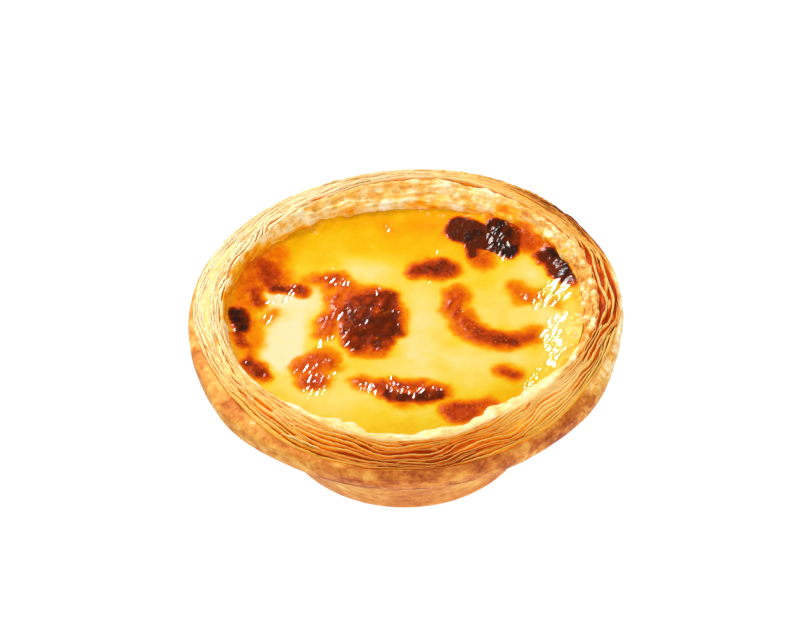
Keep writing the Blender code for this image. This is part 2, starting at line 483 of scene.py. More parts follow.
# %% Zones of the cup
go_r, go_z = np.gradient(radius, axis=0), np.gradient(height, axis=0)
length = np.hypot(go_r, go_z) + 1e-9
out_r, out_z = -go_z / length, go_r / length
angle = np.broadcast_to(turn, radius.shape)
spot = around(angle, height, radius)
behind, scorch = near(angle, 92, 34), near(angle, 36, 22)
core_end = RIM_RADIUS - 1.2 - inward
on_wall = soft(height, CUSTARD_LEVEL - 1, CUSTARD_LEVEL + 0.5) * (radius < lip + 0.5 + roll)
on_band = soft(height, BAND_BOTTOM - 0.2, BAND_BOTTOM + 1) * soft(radius, core_end - 0.3, core_end + 0.4)
on_base = 1 - soft(height, 0.2, 1.5)
on_side = (1 - soft(height, BAND_BOTTOM - 1, BAND_BOTTOM)) * (1 - on_base) * (radius > 21)
# Painted shadow: this strip just under the band's overhang is painted dark as if in the band's shade.
under_band = soft(height, BAND_BOTTOM - 1.6, BAND_BOTTOM - 0.4) * (1 - on_band)
under_band = under_band * (radius > RIM_RADIUS - 9) * (height < BAND_BOTTOM + 1.2)
in_core = soft(radius, lip + 0.25 + roll, lip + 0.6 + roll) * (1 - soft(radius, core_end, core_end + 0.4))
in_core = in_core * (height > LIP_HEIGHT - 3)
bubbly = on_wall * (0.3 + 0.7 * soft(roll, 0.5, 1.2))
print("the bubbly wall takes up", round(100 * (bubbly > 0.5).mean()), "percent of the cup's points")

# %% Relief of the cup
crumbs = lumps(spot, 1.6, 11, 3)
sheeted = around(angle, 3 * height + 2 * radius)
fissures = near(angle, 12, 52) * (1 - soft(np.abs(lumps(spot, (1.2, 1.2, 0.9), 27, 2)), 0.02, 0.20))
creases = 1 - soft(np.abs(lumps(sheeted, (8, 8, 1.5), 33, 2)), 0.02, 0.16)
scallops = near(angle, 90, 26) * soft(lumps(spot, (2.4, 2.4, 1.8), 24, 2), -0.35, -0.05)
scallops = scallops * (1 - soft(height, CUSTARD_LEVEL + 1.2, CUSTARD_LEVEL + 1.9))
grooves = lumps(spot, (3, 3, 0.9), 16)
push = bubbly * (0.46 - 0.24 * behind) * crumbs + bubbly * 0.20 * lumps(spot, 0.8, 26, 2)
push += on_wall * (0.22 * lumps(spot, 3.5, 12) + 0.3 * scallops)
push += bubbly * (behind * (0.22 * lumps(sheeted, (6, 6, 1.6), 25, 2) - 0.12 * creases) - 0.12 * fissures)
push += on_band * (0.18 * lumps(spot, (5, 5, 3), 13) + 0.06 * lumps(spot, (2.5, 2.5, 0.5), 14) - 0.14)
push += on_side * (0.10 * lumps(spot, (4, 4, 7), 15) + 0.05 * grooves - 0.06)
push += in_core * 0.35 * lumps(spot, (3, 3, 0.8), 17)
print("the relief goes from", round(push.min(), 2), "to", round(push.max(), 2), "mm")

# %% How far the custard's film crept up the wall
creep = CUSTARD_LEVEL + 0.8 + 1.6 * lumps(spot, 2.4, 18) + scorch * (1 + 1.2 * lumps(spot, 1.2, 29, 2))
creep += bells(angle, (2.2, 162, 22), (1.2, 208, 20), (-1.4, -2, 30))
film = on_wall * (1 - soft(height, creep - 0.7, creep + 1.1)) * (1 - scallops)
print("the film reaches", round(creep.max() - CUSTARD_LEVEL, 1), "mm up from the custard's level")

# %% Browning and painted shade of the cup, and its mesh
wall_toast_and_shade = 0.12 + bells(angle, (0.12, 22, 40), (0.08, 122, 26)) + behind * (0.03 + 0.13 * creases)
# Painted shade: the last term paints the hollows between the wall's crumbs browner and their tops paler; the
# fissures and scallops are the wall's own colour.
wall_toast_and_shade += 0.20 * (bubbly * fissures - scallops) - bubbly * (0.34 - 0.16 * behind) * crumbs
band_toast = toast_round(angle) + 0.20 * lumps(spot, (3.5, 3.5, 2.2), 21) + 0.06 * lumps(spot, 1.1, 28, 2)
band_toast -= 0.22 * near(angle, 338, 13) * soft(height, 20, 24)
side_toast = 0.53 + 0.08 * grooves - 0.05 * soft(height, 8, 18)
# The strip under the band is painted dark brown: a painted shadow of the band's overhang.
painted_seam_shadow = 0.78 + 0.5 * lumps(spot, 3, 23)
crust_toast_and_shade = on_wall * wall_toast_and_shade + on_band * band_toast + under_band * painted_seam_shadow
# Painted glow and shade: the floor of the core between the sheets is painted orange, less at the left, and
# the hollows between the wall's crumbs amber, in place of the grey of their shade.
core_deep = np.maximum(glow_round(angle), 0.42 - 0.24 * near(angle, 160, 55))
wall_deep = 0.03 + 0.18 * bubbly * (-crumbs - 0.1).clip(0, 0.5)
wall_deep += 0.22 * behind * soft(lumps(spot, 3.5, 34, 2), 0.0, 0.4)
film_deep = 0.30 + 0.24 * near(angle, 162, 22) + 0.5 * scorch
marks = {
    "toast_and_shade": crust_toast_and_shade + on_side * side_toast + on_base * 0.5,
    "deep": in_core * core_deep + on_wall * wall_deep + film * film_deep,
    "edge": 0 * angle,
    "mottle": on_wall * (0.4 + 0.3 * near(angle, 25, 45)) + on_band * (0.4 + 0.4 * near(angle, 330, 22)),
    "across": np.cumsum(length * (1 - 0.75 * (on_band + on_side).clip(0, 1)), axis=0),
}
cup_points = baked(radius + push * out_r, angle, np.maximum(height + push * out_z, 0))
cup = make_piece("pastry_cup", cup_points, grid_faces(*radius.shape), marks, pastry.material)
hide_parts("pastry_shell")

# %% [markdown]
# ## The sheets of the rim
#
# Puff pastry is dough folded over butter many times. Cut, stood on end and baked, its sheets fan open: they
# run round the tart edge up, meet, part, and leave gaps like long thin leaves. They are made as lanes. Each
# lane takes a share of the ring's width that swells and shrinks round the tart, so neighbours never cross,
# and a sheet is a thin blade along the middle of its lane, with a root in the cup and a ragged top.

# %% The blade that every flake is made from
def blade(angle, radius, z, half, slant=0.0):
    """A thin closed leaf round a middle surface of levels by columns, half as thick to each side of it.

    Its points go up the outer side and down the inner one, along the normal of the level lines. The slant
    is how much lower the outer side ends, so that a crest can slope outwards like a cut edge."""
    go_r, go_z = np.gradient(radius, axis=0), np.gradient(z, axis=0)
    length = np.hypot(go_r, go_z) + 1e-9
    side_r, side_z = go_z / length * half, -go_r / length * half
    outer = np.stack([radius + side_r, z + side_z - slant])
    inner = np.stack([radius - side_r, z - side_z])[:, ::-1]
    loop = np.concatenate([outer, inner, outer[:, :1]], axis=1)
    return baked(loop[0], np.broadcast_to(angle, loop[0].shape), loop[1])


def both_sides(outer, inner, like):
    """Marks given for each level of the outer and inner side, in the order of the blade's points."""
    outer, inner = np.broadcast_to(outer, like.shape), np.broadcast_to(inner, like.shape)
    return np.concatenate([outer, inner[::-1], outer[:1]])


def gather(parts):
    """Joins (points, marks) grids into one set of points, faces and marks."""
    faces, first = [], 0
    for points, _ in parts:
        faces.append(grid_faces(points.shape[0], points.shape[1], first))
        first += points.shape[0] * points.shape[1]
    points = np.concatenate([points.reshape(-1, 3) for points, _ in parts])
    marks = {name: np.concatenate([marks[name].ravel() for _, marks in parts]) for name in parts[0][1]}
    return points, np.concatenate(faces), marks


# %% Lanes: where each sheet stands and how wide its share of the ring is
LANES = 16
turn = np.linspace(0, 2 * np.pi, 1101)
roll, lip = lip_roll(turn), LIP_RADIUS - lip_inset(turn)
luck = np.random.default_rng(5)
stands, claims = np.ones((LANES, len(turn))), np.ones((LANES, len(turn)))
for lane in range(LANES):
    tears = [(luck.uniform(0, 360), luck.uniform(8, 16)) for _ in range(2)]
    if lane % 2 == 1 or lane % 4 == 2:
        tears.append((luck.uniform(-10, 30), luck.uniform(28, 40)))
    if lane % 3 != 0:
        tears.append((luck.uniform(65, 115), luck.uniform(28, 42)))
    if lane % 3 == 2:
        tears.append((luck.uniform(255, 300), luck.uniform(12, 22)))
    for centre, width in tears:
        bell = near(turn, centre, width)
        stands[lane] *= 1 - soft(bell, 0.5, 0.8)
        claims[lane] *= 1 - 0.93 * soft(bell, 0.2, 0.9)
rank = np.arange(LANES)[:, None]
ring = around(turn[None, :] + 0 * rank, 30.0 * rank)
claims = claims * np.exp(2.2 * lumps(ring, 13, 40, 2))
share = claims / claims.sum(axis=0)
centre = np.cumsum(share, axis=0) - share / 2
first = lip + 0.5 + roll - bells(turn, (1.5, 178, 48), (0.8, 228, 22))
last = RIM_RADIUS - 0.9 - shoulder_round(turn) + 0.4 * bulge_round(turn)
top_radius = first + (last - first) * centre
top_radius += 0.35 * lumps(around(turn), 9, 60, 2) * np.sin(np.pi * centre)

# %% Where the sheets parted
GAPS = (  # from and to in degrees, radius in millimetres, and half of the opening
    (-18, 34, RIM_RADIUS - 3.3, 0.52),
    (-8, 30, RIM_RADIUS - 1.9, 0.36),
    (24, 46, RIM_RADIUS - 1.5, 0.24),
    (44, 70, RIM_RADIUS - 2.6, 0.18),
    (84, 112, RIM_RADIUS - 4.0, 0.16),
    (118, 152, RIM_RADIUS - 5.0, 0.26),
    (160, 186, RIM_RADIUS - 2.0, 0.16),
    (196, 216, RIM_RADIUS - 4.4, 0.22),
    (208, 234, RIM_RADIUS - 3.9, 0.30),
    (232, 252, RIM_RADIUS - 2.3, 0.16),
    (250, 268, RIM_RADIUS - 4.2, 0.20),
    (262, 296, RIM_RADIUS - 3.4, 0.28),
    (272, 292, RIM_RADIUS - 1.9, 0.18),
    (288, 316, RIM_RADIUS - 2.6, 0.16),
    (300, 330, RIM_RADIUS - 4.4, 0.12),
    (322, 350, RIM_RADIUS - 3.2, 0.26),
)
for start, end, where, half in GAPS:
    along = ramp((np.degrees(turn) - start) % 360, 0, end - start)
    opening = half * np.sin(np.pi * along) ** 1.2 * (1.1 + 0.5 * lumps(around(turn), 5, 70, 2))
    away = top_radius - where - 0.3 * lumps(around(turn), 6, 71, 2)
    top_radius += opening * np.tanh(away / 0.3) * np.exp(-np.abs(away) / 1.3)
apart = np.diff(top_radius, axis=0)
room = np.minimum(np.concatenate([apart[:1], apart]), np.concatenate([apart, apart[-1:]]))
print("neighbouring sheets are", np.round(apart.min(), 2), "to", np.round(apart.max(), 2), "mm apart")

# %% How high each sheet stands
LEVELS = np.array([0, 0.4, 0.7, 0.9, 1.0])[:, None]
CREST = LEVELS > 0.95
crumbly, crinkled, front = near(turn, 172, 62), near(turn, 8, 42), near(turn, 285, 45)
raggeds = []
for lane in range(LANES):
    ragged = 0.34 * lumps(around(turn, 4.0 * lane), 5, 110, 2)
    ragged = ragged + 0.10 * (1 + 0.6 * crumbly + 0.7 * crinkled) * lumps(around(turn), 0.8, 140 + lane, 2)
    raggeds.append(ragged - 0.35 * crumbly * soft(lumps(around(turn, 5.0 * lane), 4.0, 260, 2), 0.05, 0.4))
tops = np.array(raggeds) + 2.4 * (stands - 1)
taller = np.maximum(np.concatenate([tops[:1], tops[:-1]]), np.concatenate([tops[1:], tops[-1:]]))
# How far a sheet's top sinks below its neighbours; the sheets use it to paint shade on sunk crests.
sunk = soft(taller - tops, 0.1, 0.7)
print("the tops of the sheets are ragged by", round(np.ptp(raggeds), 2), "mm")


def sheet_top(top_r, angle, lip_line):
    """For a sheet: its place from the lip, 0, to the band, 1, how far its crest stands up, and its height.

    The height is the rim's own plus the crest, less 1.5 times how far the sheet is inside the lip line."""
    place = (top_r - LIP_RADIUS) / (RIM_RADIUS - LIP_RADIUS)
    crest = crest_round(angle) * soft(place, 0.3, 1)
    below_lip = np.maximum(lip_line + 0.5 - top_r, 0)
    return place, crest, rim_height(np.maximum(place, 0)) - 1.5 * below_lip + crest


# %% Sheets
def sheet(lane):
    """One sheet of the rim, as points and marks. It follows the middle of its lane with small waves.

    From its top it goes down by its rise, and leans and wavers the more the deeper it goes. Where it is torn
    it is short and sunk. Half its thickness is about 0.4 of the room to its nearest neighbour, but never
    over 0.35 mm, and less at its crest."""
    ragged = raggeds[lane]
    top_r = top_radius[lane] + 0.05 * (1 + 0.6 * crumbly) * lumps(around(turn), 1.1, 80 + lane, 2)
    top_r = top_r + 0.30 * crinkled * lumps(around(turn, 0.4 * lane), 2.2, 75, 2)
    place, crest, top_z = sheet_top(top_r, turn, lip + roll)
    rise = (2.4 - 1.0 * crumbly + crest + ragged) * stands[lane] + 0.02
    lean = 0.5 * lumps(around(turn, 2.0 * lane), 8, 170, 1)
    waver = 0.10 * lumps(around(turn, 3 * LEVELS), 2.2, 200 + lane, 2)
    level_r = top_r + (lean + waver) * (1 - LEVELS)
    level_z = top_z - 0.15 + ragged - rise * (1 - LEVELS) - 2.4 * (1 - stands[lane])
    plump = 0.41 + 0.12 * lumps(around(turn), 4, 230 + lane, 2)
    plump = plump + bells(turn, (0.10, 155, 65), (0.08, 312, 34))
    thinning = 1.1 - 0.15 * LEVELS - (0.25 + 0.3 * front) * CREST
    half = np.clip(plump * room[lane], 0.05, 0.32) * thinning
    slant = (1.1 - 0.9 * np.sin(turn)) * half * LEVELS**4
    below = (1 - LEVELS) * rise
    # Painted glow and shade: the lower a point lies below the sheet's top, and the more the sheet is sunk
    # below its neighbours, the deeper orange it is painted, and a sunk crest is painted less pale, in place
    # of light through the sheets and the shade in the gaps.
    glow, gilt = glow_round(turn) * (1 + 0.3 * front), pale_round(turn) * (1 - 0.85 * sunk[lane])
    crust_tone = toast_round(turn) * (0.2 + 0.8 * soft(place, 0.3, 1.0))
    crust_tone = np.clip(crust_tone - 0.28 * crumbly + 0.26 * near(turn, 217, 17), 0, 1)
    outer_glow = glow * (0.28 + front * (0.22 + 0.3 * soft(place, 0, 0.8)) + 0.6 * soft(below, 0.0, 0.8))
    inner_glow = glow * (0.12 + 0.8 * soft(below, 0.1, 1.2))
    slit = (1 - 0.5 * near(turn, 92, 36)) * np.maximum(0.55 * soft(below, 0.12, 0.7), 0.5 * sunk[lane])
    marks = {
        "toast_and_shade": both_sides(crust_tone, crust_tone, half),
        "deep": both_sides(np.maximum(outer_glow, slit), np.maximum(inner_glow, slit), half),
        "edge": both_sides(0.8 * gilt * (1 - front) * CREST, gilt * (1 - soft(below, 0.02, 0.2)), half),
        "mottle": both_sides(0.3, 0.3, half),
        "across": both_sides(below + 9.0 * lane, below + 9.0 * lane + 4.5, half),
    }
    return blade(turn, level_r, level_z, half, slant), marks


sheets = [sheet(lane) for lane in range(LANES)]
for side, some in (("inner", sheets[: LANES // 2]), ("outer", sheets[LANES // 2 :])):
    flakes = make_piece(f"pastry_sheets_{side}", *gather(some), pastry.material)

# %% [markdown]
# ## Flaps and shingles of the inner lip
#
# The innermost sheets came loose and fell inwards over the custard while it was still soft. They are wider
# and paler than the standing sheets: each is a short blade that rises from the lip and bends over. Smaller
# ones overlap all along the left like shingles, and show as the fine lines of the inner wall.

# %% The list of flaps
FLAPS = [  # from and to in degrees, then in millimetres: reach inwards, height over the lip, root outwards
    (239, 260, 2.6, -0.50, 0.7),
    (236, 266, 1.3, -0.10, 0.8),
    (257, 281, 1.5, -0.05, 0.8),
    (270, 292, 2.4, -0.35, 0.7),
    (287, 310, 2.2, -0.25, 0.8),
    (298, 333, 2.5, 0.25, 1.9),
    (283, 301, 1.1, 0.05, 0.7),
    (262, 277, 0.9, 0.10, 0.7),
    (226, 243, 0.7, -0.30, 0.7),
]
luck = np.random.default_rng(12)
for _ in range(9):
    start = luck.uniform(236, 318)
    FLAPS.append((start, start + luck.uniform(8, 22), luck.uniform(0.3, 1.1), luck.uniform(-1.0, 0.0), 0.7))
for _ in range(7):
    start = luck.uniform(184, 226)
    FLAPS.append((start, start + luck.uniform(12, 30), luck.uniform(0.0, 0.3), luck.uniform(-1.6, -0.5), 0.7))
print("the inner lip has", len(FLAPS), "flaps")

# %% A flap's shape and marks
FLAP_STEPS, FLAP_LEVELS = 170, 9


def flap(number, start, end, reach, rise, root):
    """One loose end of a sheet, as points and marks. Along the lip it tapers off to both ends.

    From its root it goes inwards with the 1.3rd power of its level, which is 0 at the root and 1 at the tip.
    It goes up with the sine of a quarter turn times the 0.45th power of it, and droops with its cube."""
    angle = np.radians(np.linspace(start, end, FLAP_STEPS))
    along = np.linspace(0, 1, FLAP_STEPS)
    taper = np.sin(np.pi * along) ** 0.8
    level = np.linspace(0, 1, FLAP_LEVELS)[:, None]
    lip = LIP_RADIUS - lip_inset(angle)
    scallop = 1 + 0.45 * lumps(around(angle), 2.8, 300 + number, 3)
    level_r = lip + root * taper**0.5 - (0.3 + reach * taper * scallop) * level**1.3
    arc = np.sin(0.5 * np.pi * level**0.45) * taper**0.3
    level_z = LIP_HEIGHT - 1.3 + (1.35 + rise) * arc - 0.25 * level**3 * taper
    level_z = level_z + 0.18 * level * lumps(around(angle, 2 * level), 2.5, 320 + number, 2)
    half = (0.15 - 0.10 * level) * np.minimum(1, 8 * np.minimum(along, 1 - along))
    tone = 0.26 - 0.20 * level**2 + 0.16 * lumps(around(angle, 0.5 * level), 1.8, 340, 2)
    torn = soft(level + 0.25 * lumps(around(angle), 1.1, 350, 2), 0.6, 1.05)
    marks = {
        "toast_and_shade": both_sides(tone, 0.1, half),
        # Painted glow: the flap is painted deeper orange towards its root, where it lies in shade.
        "deep": both_sides(0.35 * glow_round(angle) * (1 - soft(level, 0, 0.6)), 0.2, half),
        "edge": both_sides((0.2 + 0.6 * (reach > 1)) * torn, 0.4, half),
        "mottle": both_sides(0.1, 0.1, half),
        "across": both_sides(2.4 * level + 5.0 * number, 2.4 * level + 5.0 * number, half),
    }
    return blade(angle, level_r, level_z, half), marks


flaps = [flap(number, *row) for number, row in enumerate(FLAPS)]
lip_flaps = make_piece("pastry_lip_flaps", *gather(flaps), pastry.material)

# %% [markdown]
# ## Torn shards
#
# At the left the rim flaked into short torn pieces that lie over each other like bark. A few stuck out
# elsewhere, and behind the right shoulder they scorched. Each is again a blade, only a few degrees long, that
# leans out of the rim by its own amount and ends in ragged corners. Chance sets them, more of them where the
# rim is crumbly and none in front, where the sheets stayed whole.

# %% Where the shards sit
LEFT_SHARDS, LOOSE_SHARDS, SCORCHED_SHARDS = 60, 34, 16


def shard_middle(number, luck):
    """Where a shard sits, in degrees: the first ones at the left, then anywhere but in front, then behind."""
    if number < LEFT_SHARDS:
        return luck.normal(176, 28)
    if number < LEFT_SHARDS + LOOSE_SHARDS:
        return luck.uniform(-15, 222)
    return luck.normal(46, 11)


# %% A shard's shape and marks
SHARD_STEPS, SHARD_LEVELS = 40, 6


def shard(number, luck):
    """One torn shard, as points and marks: a blade 1.3 mm tall and 3 to 14 degrees long.

    It crosses the ring at a slant, by a straight line in the angle, and its lower levels lean out of it with
    the 1.4th power of their depth. Its top falls off with the 4th power of the distance from its middle."""
    middle, scorched = shard_middle(number, luck), number >= LEFT_SHARDS + LOOSE_SHARDS
    length = luck.uniform(3.0, 14.0)
    angle = np.radians(np.linspace(middle - length / 2, middle + length / 2, SHARD_STEPS))
    along = np.linspace(0, 1, SHARD_STEPS)
    level = np.linspace(0, 1, SHARD_LEVELS)[:, None]
    first_r = LIP_RADIUS + 0.7 + lip_roll(angle) - 1.9 * near(angle, 178, 48)
    last_r = RIM_RADIUS - 1.1 - shoulder_round(angle)
    share = luck.uniform(0.7, 1.0) if scorched else luck.uniform(0.0, 0.9)
    top_r = first_r + (last_r - first_r) * share + luck.uniform(-0.35, 0.35) * (2 * along - 1)
    top_z = sheet_top(top_r, angle, LIP_RADIUS + lip_roll(angle))[2]
    torn = (0.45 if scorched else 0.25) * lumps(around(angle), 0.9, 400 + number, 2)
    torn = torn - 0.9 * np.abs(2 * along - 1) ** 4
    lean = luck.uniform(-0.7, 0.5)
    level_r = top_r - lean * (1 - level) ** 1.4 + 0.06 * lumps(around(angle, level), 0.9, 560 + number, 1)
    level_z = top_z + luck.uniform(-0.25, 0.18) + torn - 1.3 * (1 - level)
    half = 0.07 * np.minimum(1, 6 * np.minimum(along, 1 - along) + 0.1) * (1.2 - 0.4 * level)
    tone = luck.uniform(0.0, 0.22) + luck.uniform(0.2, 0.6) * near(angle, 46, 18)
    # Painted glow: a shard is painted deeper orange the nearer its foot, where shade falls.
    gilt, glow = pale_round(angle), 0.5 * glow_round(angle) * (1 - level)
    marks = {
        "toast_and_shade": both_sides(tone + 0.15 * (1 - level), tone + 0.1, half),
        "deep": both_sides(glow, glow, half),
        "edge": both_sides(gilt * soft(level, 0.6, 1.0), gilt * soft(level, 0.5, 1.0), half),
        "mottle": both_sides(0.3, 0.3, half),
        "across": both_sides(1.3 * level + 3.0 * number, 1.3 * level + 3.0 * number, half),
    }
    return blade(angle, level_r, level_z, half), marks


luck = np.random.default_rng(31)
shards = [shard(number, luck) for number in range(LEFT_SHARDS + LOOSE_SHARDS + SCORCHED_SHARDS)]
rim_shards = make_piece("pastry_rim_shards", *gather(shards), pastry.material)

# %% [markdown]
# ## Where the custard browned
#
# The skin of the custard caramelises first where it puffed up towards the heat. Each browned place is drawn
# as a stroke, from one point to another with a half-width and a depth of colour.
# The distance to the nearest stroke, shaken by noise, gives how brown each point of the skin is.

# %% Browning in the middle and at the left
MIDDLE_STROKES = (  # from x, y to x, y in millimetres, half-width, darkness
    (-7.6, 4.6, -3.6, 5.2, 2.6, 0.90),
    (-9.0, 1.8, -3.4, 1.2, 2.7, 0.93),
    (-8.8, -2.2, -3.2, -1.8, 2.3, 0.97),
    (-8.0, -4.8, -4.4, -4.8, 2.4, 0.89),
    (-7.6, -6.4, -5.0, -6.4, 1.7, 0.74),
    (-12.0, 3.6, -13.6, -3.4, 1.3, 0.64),
    (-11.6, 5.4, -10.0, 6.6, 1.7, 0.62),
    (-8.8, 7.6, -3.6, 7.4, 0.8, 0.68),
    (-1.7, 5.0, -1.5, -2.0, 0.8, 0.70),
    (-15.0, 10.8, -11.6, 10.6, 1.2, 0.62),
    (-13.6, 9.0, -9.8, 8.6, 1.0, 0.56),
    (-9.8, 8.8, -8.4, 7.4, 1.4, 0.62),
    (-17.4, 9.8, -15.6, 10.0, 0.8, 0.30),
)
LEFT_STROKES = (
    (-22.8, 8.2, -18.4, 7.8, 1.1, 0.90),
    (-24.6, 13.2, -23.8, 10.0, 2.2, 0.72),
    (-24.7, 12.9, -24.4, 11.6, 0.9, 0.82),
    (-23.4, 17.6, -22.8, 15.2, 1.9, 0.42),
    (-22.4, 12.0, -21.2, 9.8, 1.3, 0.50),
    (-26.0, 6.8, -26.0, 3.6, 1.2, 0.80),
    (-27.6, 13.0, -26.8, 6.0, 1.4, 0.52),
    (-29.4, 12.0, -28.0, 2.0, 1.4, 0.42),
    (-28.9, 0.2, -27.8, -3.2, 1.3, 1.09),
    (-28.2, -5.0, -27.6, -6.8, 1.2, 0.84),
    (-26.4, -1.0, -26.0, -6.4, 0.9, 0.40),
    (-26.8, -8.0, -26.2, -10.0, 0.9, 0.42),
    (-26.0, -11.2, -24.4, -14.6, 1.1, 0.86),
    (-24.2, -0.4, -22.6, 1.4, 0.7, 0.34),
)

# %% Browning in front, behind and at the right
FRONT_STROKES = (
    (-16.4, -11.0, -13.4, -10.0, 2.0, 0.60),
    (-16.2, -14.4, -14.6, -14.6, 1.9, 0.66),
    (-7.4, -15.2, -5.8, -16.0, 1.0, 0.62),
    (-4.6, -16.4, -3.2, -17.8, 1.4, 0.84),
    (-2.6, -18.4, 5.2, -18.4, 1.3, 1.04),
    (-1.6, -15.6, 2.2, -15.6, 1.0, 0.72),
    (3.6, -16.6, 6.0, -18.0, 1.1, 0.72),
    (-0.6, -20.2, 0.4, -20.4, 0.5, 0.50),
    (8.4, -22.4, 11.0, -22.6, 1.9, 0.74),
    (8.8, -20.8, 12.4, -20.6, 0.8, 0.80),
    (12.0, -21.2, 13.8, -20.6, 0.9, 0.64),
)
BACK_STROKES = (
    (3.2, 12.9, 6.8, 12.9, 2.0, 0.82),
    (4.7, 13.2, 5.6, 13.2, 0.8, 0.98),
    (10.0, 22.9, 11.2, 21.8, 2.8, 1.12),
    (12.0, 20.4, 13.6, 19.2, 2.0, 1.14),
    (11.7, 18.4, 12.0, 16.4, 1.2, 1.04),
    (12.8, 15.6, 13.2, 14.0, 1.1, 0.60),
    (15.8, 22.4, 16.6, 19.4, 2.0, 1.20),
    (15.6, 17.8, 18.0, 16.8, 1.6, 1.20),
    (18.2, 21.2, 18.6, 18.2, 1.6, 0.96),
    (20.0, 21.4, 21.4, 18.2, 1.5, 0.66),
    (15.4, 27.6, 15.4, 25.0, 0.8, 0.46),
    (17.2, 26.2, 18.6, 24.0, 0.8, 0.48),
    (20.0, 24.2, 21.2, 21.4, 0.8, 0.44),
    (22.4, 20.0, 26.6, 17.2, 1.0, 0.48),
    (21.0, 17.8, 23.0, 17.8, 1.1, 0.56),
    (23.8, 15.2, 25.6, 14.4, 1.7, 1.12),
    (25.8, 13.2, 27.4, 10.8, 1.9, 1.14),
    (28.6, 10.6, 28.8, 9.2, 1.0, 0.95),
    (27.6, 15.6, 29.6, 11.0, 0.8, 0.60),
)
RIGHT_STROKES = (
    (19.6, 7.2, 20.8, 5.8, 1.7, 0.46),
    (8.2, 6.0, 8.0, 3.4, 1.7, 0.62),
    (8.2, 3.4, 9.6, 0.0, 1.6, 0.64),
    (9.8, -0.6, 12.6, -3.4, 1.6, 0.66),
    (12.6, -3.6, 17.0, -5.4, 1.5, 0.76),
    (16.4, -5.0, 19.0, -6.0, 1.0, 0.90),
    (18.0, -5.6, 21.0, -4.6, 1.7, 0.70),
    (21.0, -4.2, 21.8, -3.0, 1.4, 0.50),
    (17.6, -13.0, 18.6, -13.8, 1.3, 0.76),
)
FAINT_STROKES = (
    (-2.4, 23.8, -3.2, 24.6, 0.6, 0.26),
    (2.0, 24.4, 6.0, 24.6, 1.0, 0.18),
    (10.0, 27.4, 13.4, 27.2, 0.9, 0.24),
    (-25.0, 19.4, -12.0, 28.4, 0.7, 0.16),
    (-10.0, 29.2, 8.0, 30.0, 0.4, 0.12),
    (26.2, 3.9, 26.4, 3.5, 0.3, 0.40),
)
STROKES = MIDDLE_STROKES + LEFT_STROKES + FRONT_STROKES + BACK_STROKES + RIGHT_STROKES + FAINT_STROKES
print("the custard has", len(STROKES), "strokes of browning")

# %% Pale places, partly a painted sheen
# Partly real pale skin and partly a painted sheen: these strokes paint the yellow paler where the glossy skin
# mirrors the broad lamps.
PALE_AND_SHEEN = (  # from x, y to x, y, half-width, and how strong the pale cream is there
    (4.0, -13.0, 2.0, 8.0, 1.8, 0.44),
    (-20.6, -9.0, -20.0, 5.0, 3.4, 1.0),
    (-16.5, 3.0, -16.5, 7.0, 1.2, 0.8),
    (-9.0, 13.5, 0.0, 13.5, 1.6, 0.62),
    (8.0, -9.0, 17.0, -9.0, 1.6, 0.5),
    (14.0, 2.0, 22.0, 11.0, 1.6, 0.3),
    (25.0, 6.0, 27.0, -8.0, 1.0, 0.4),
    (-12.0, -19.5, -19.0, -16.0, 2.0, 0.3),
)


def strokes_at(x, y, strokes, fade):
    """How strong the strokes are at each point: the 8th root of the sum of their strengths' 8th powers, where
    each one falls in a smooth S to 0 round its edge. The lighter a stroke is, the wider it fades."""
    total = np.zeros_like(x)
    for x0, y0, x1, y1, wide, strength in strokes:
        span_x, span_y = x1 - x0, y1 - y0
        t = np.clip(((x - x0) * span_x + (y - y0) * span_y) / (span_x**2 + span_y**2), 0, 1)
        away = np.hypot(x - x0 - t * span_x, y - y0 - t * span_y) - wide
        reach = fade * np.clip(2.2 - 1.4 * strength, 0.5, 1.4)
        total = total + (strength * (1 - soft(away, -0.6 * reach, reach))) ** 8
    return total**0.125


# %% [markdown]
# ## Calm, puckered and wet places
#
# The skin of baked custard is not equally rough. Where it sank back it is calm, where it dried it puckered,
# and where fat and syrup came up it is wet, and mirrors a window as short white streaks. A bump would shine
# there too, but as round dots. So small flat facets are set into the skin, each leaning the way that throws
# the light to someone in front, and only they are given the full coat of gloss.

# %% Calm and puckered places
CALM = (  # from x, y to x, y, half-width, and how much smoother the browned skin is there
    (10.0, 22.8, 12.0, 16.0, 3.4, 0.9),
    (19.0, 21.0, 22.0, 18.0, 1.8, 0.7),
    (8.4, -22.4, 13.0, -21.0, 3.0, 0.9),
    (14.0, -4.6, 22.0, -3.6, 3.0, 0.8),
    (3.0, 12.9, 7.0, 12.9, 2.4, 0.5),
    (-25.0, 14.0, -23.0, 9.0, 3.0, 0.6),
    (17.6, -13.0, 18.6, -13.8, 1.6, 0.9),
    (19.6, 7.0, 20.6, 5.8, 1.8, 0.6),
)
PUCKERS = (  # from x, y to x, y, half-width, and how strongly the wet skin is puckered there
    (22.6, 4.4, 26.6, 8.0, 1.6, 1.0),
    (25.0, 0.6, 27.4, -0.4, 1.0, 0.7),
    (25.8, -1.4, 25.8, -8.4, 1.2, 1.0),
    (26.2, -8.8, 24.6, -11.6, 0.9, 1.0),
    (22.4, -13.4, 20.2, -17.4, 0.9, 0.9),
    (-24.6, -0.6, -21.6, 3.6, 1.4, 0.8),
    (-14.8, -6.4, -12.6, -3.8, 0.8, 0.6),
    (-17.8, -16.4, -13.0, -17.4, 0.7, 0.8),
    (-18.6, -11.6, -12.4, -12.6, 1.4, 0.5),
    (-7.6, -15.4, 2.4, -16.8, 1.6, 0.7),
    (14.6, 22.4, 18.6, 16.2, 1.5, 0.8),
    (-3.6, 24.8, -2.4, 23.2, 0.6, 0.6),
    (-14.6, 11.4, -10.0, 10.0, 1.2, 0.6),
    (8.0, 27.4, 22.0, 21.6, 1.0, 0.4),
)

